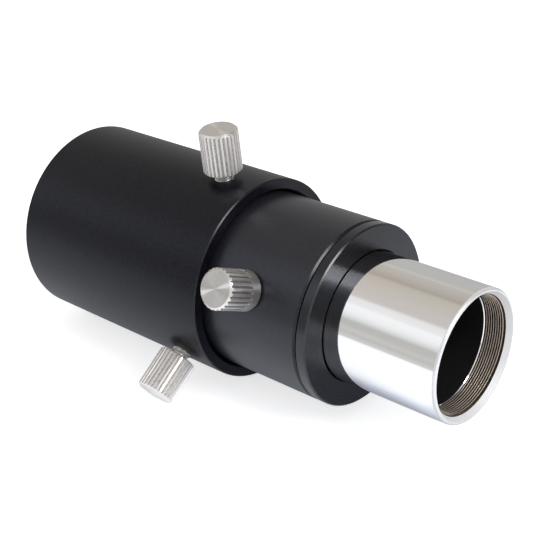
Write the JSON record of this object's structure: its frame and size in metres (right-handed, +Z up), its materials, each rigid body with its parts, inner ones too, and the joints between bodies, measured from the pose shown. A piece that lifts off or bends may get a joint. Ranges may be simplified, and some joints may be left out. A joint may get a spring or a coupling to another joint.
{
  "type": "eyepiece projection adapter",
  "caption": "Telescoping black tube adapter with fluted thumbscrews, a plated push-fit nosepiece at one end and a camera thread at the other.",
  "frame": {"origin": "bottom centre of the adapter's bounding box, on the surface that it lies on", "axes": "+X along the tubes towards the nosepiece, +Z up, -Y towards the eyepiece screw"},
  "size_m": [0.1284, 0.0702, 0.0644],
  "materials": {
    "satin_black": "satin black anodised, turned",
    "matt_black": "matt black anodised",
    "chrome": "polished bright plating, black inside",
    "stainless": "turned, fluted"
  },
  "bodies": {
    "outer_body": {"outer_tube": "satin_black", "camera_thread_ring": "matt_black"},
    "draw_body": {"draw_tube": "satin_black"},
    "nosepiece_body": {"end_cap": "satin_black", "nosepiece_barrel": "chrome"},
    "lock_screw_top": {"lock_screw_top": "stainless"},
    "lock_screw_near": {"lock_screw_near": "stainless"},
    "lock_screw_far": {"lock_screw_far": "stainless"},
    "eyepiece_screw": {"eyepiece_screw": "stainless"}
  },
  "joints": [
    {"name": "draw_slide", "type": "slide", "parent": "outer_body", "child": "draw_body", "axis": [1, 0, 0], "range_m": [-0.0065, 0.035]},
    {"name": "nosepiece_lift_off", "type": "slide", "parent": "draw_body", "child": "nosepiece_body", "axis": [1, 0, 0], "range_m": [0, 0.04]},
    {"name": "lock_screw_top_turn", "type": "hinge", "parent": "outer_body", "child": "lock_screw_top", "pos_m": [-0.00715, -0.00141, 0.02562], "axis": [0, -0.0911, 0.9958], "range_deg": [0, 1080]},
    {"name": "lock_screw_near_turn", "type": "hinge", "parent": "outer_body", "child": "lock_screw_near", "pos_m": [-0.00715, -0.00141, 0.02562], "axis": [0, -0.8169, -0.5768], "range_deg": [0, 1080]},
    {"name": "lock_screw_far_turn", "type": "hinge", "parent": "outer_body", "child": "lock_screw_far", "pos_m": [-0.00715, -0.00141, 0.02562], "axis": [0, 0.908, -0.4191], "range_deg": [0, 1080]},
    {"name": "eyepiece_screw_turn", "type": "hinge", "parent": "draw_body", "child": "eyepiece_screw", "pos_m": [0.01545, -0.00141, 0.02562], "axis": [0, -0.908, 0.4191], "range_deg": [0, 1080]}
  ]
}
